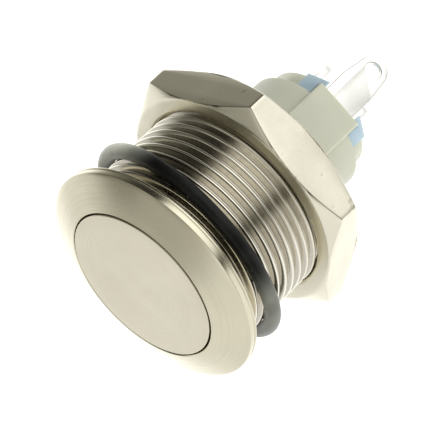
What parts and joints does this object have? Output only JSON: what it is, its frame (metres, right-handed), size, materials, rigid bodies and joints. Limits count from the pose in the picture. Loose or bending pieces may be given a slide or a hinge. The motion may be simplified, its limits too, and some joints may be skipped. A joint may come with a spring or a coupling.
{
  "type": "push button",
  "caption": "Flush metal push button with a bevelled round head, threaded barrel, hex nut, rubber panel ring, moulded base and solder tags.",
  "frame": {"origin": "centre of the head's seating face, in the plane of the panel's front", "axes": "+Z out of the panel towards the finger, barrel and tags along -Z, common tag on the -Y side"},
  "size_m": [0.0254, 0.023, 0.0307],
  "materials": {
    "head_steel": "fine satin",
    "nut_steel": "satin plated",
    "black_rubber": "matte",
    "grey_moulding": "slightly translucent",
    "blue_moulding": "translucent",
    "tinned_brass": "bright tin",
    "blade_bronze": "bright",
    "contact_silver": "satin",
    "spring_steel": "drawn wire",
    "white_nylon": "moulded"
  },
  "bodies": {
    "switch_body": {"housing": "head_steel", "panel_ring": "black_rubber", "guide_bush": "white_nylon", "base": "grey_moulding", "rear_seal": "black_rubber", "terminal_plate": "blue_moulding", "common_tag": "tinned_brass", "closed_tag": "tinned_brass", "open_tag": "tinned_brass", "closed_contact": "contact_silver", "open_contact": "contact_silver"},
    "button_body": {"button": "head_steel", "button_seal": "black_rubber", "stem_clip": "spring_steel", "plunger": "white_nylon", "return_spring": "spring_steel", "blade_spring": "spring_steel"},
    "blade_body": {"blade": "blade_bronze", "blade_contact": "contact_silver"},
    "nut_body": {"hex_nut": "nut_steel"}
  },
  "joints": [
    {"name": "button_press", "type": "slide", "parent": "switch_body", "child": "button_body", "axis": [0, 0, -1], "range_m": [0, 0.0015], "stiffness_N_per_m": 1200, "springref_m": -0.001, "deforming": ["return_spring", "blade_spring"]},
    {"name": "blade_rock", "type": "hinge", "parent": "switch_body", "child": "blade_body", "pos_m": [0, -0.0047, -0.01315], "axis": [-1, 0, 0], "range_deg": [0, 18.3]},
    {"name": "nut_travel", "type": "slide", "parent": "switch_body", "child": "nut_body", "axis": [0, 0, 1], "range_m": [-0.00505, 0.0032]}
  ],
  "couplings": [
    {"joint": "blade_rock", "follows": "button_press", "rad_per_m": 212.7}
  ]
}
